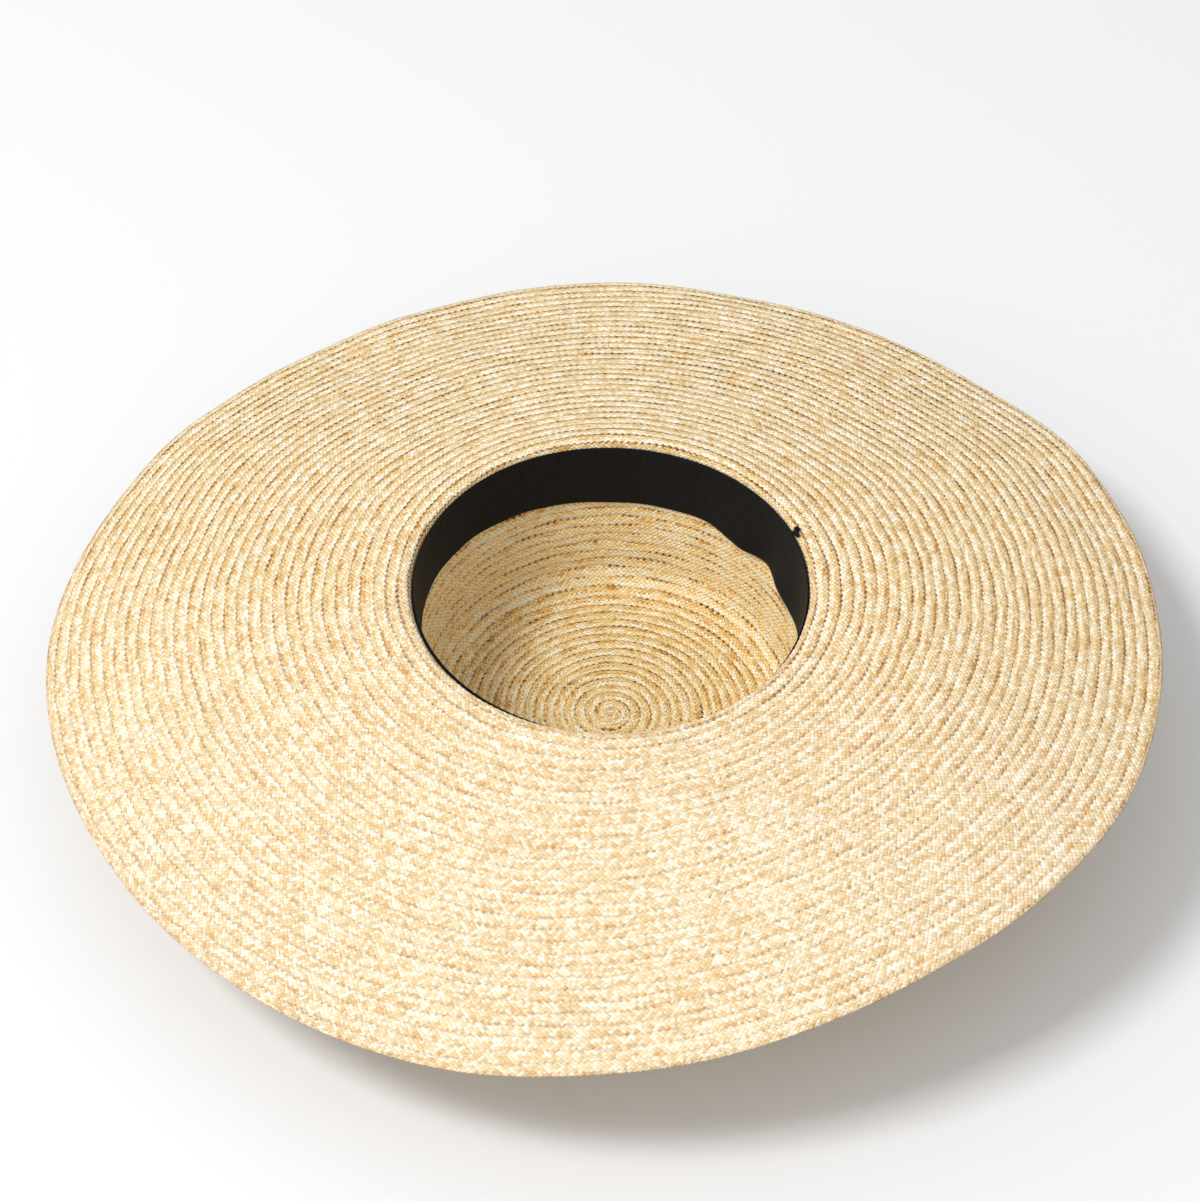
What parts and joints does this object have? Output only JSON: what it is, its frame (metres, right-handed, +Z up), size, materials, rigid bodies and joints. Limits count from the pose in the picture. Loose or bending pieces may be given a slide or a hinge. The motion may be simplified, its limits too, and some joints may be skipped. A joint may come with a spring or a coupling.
{
  "type": "straw boater hat",
  "caption": "Wide-brimmed straw boater hat of sewn plaited straw, with a flat-topped crown and an inside ribbon, lying upside down.",
  "frame": {"origin": "centre of the crown tip's outer face, which rests on the surface while the hat lies upside down", "axes": "+Z up out of the opening, +X to the wearer's side at the right of the picture, -Y to the front of the picture"},
  "size_m": [0.512, 0.5279, 0.096],
  "materials": {
    "crown_straw": "natural wheat straw plait, semi-gloss, fine rows",
    "brim_straw": "natural wheat straw plait, semi-gloss, fine rows",
    "ribbon": "black ribbed ribbon, matt",
    "thread": "black sewing thread, matt"
  },
  "bodies": {
    "root": {"crown": "crown_straw", "brim": "brim_straw", "sweatband": "ribbon", "band_knot": "thread"}
  },
  "joints": []
}
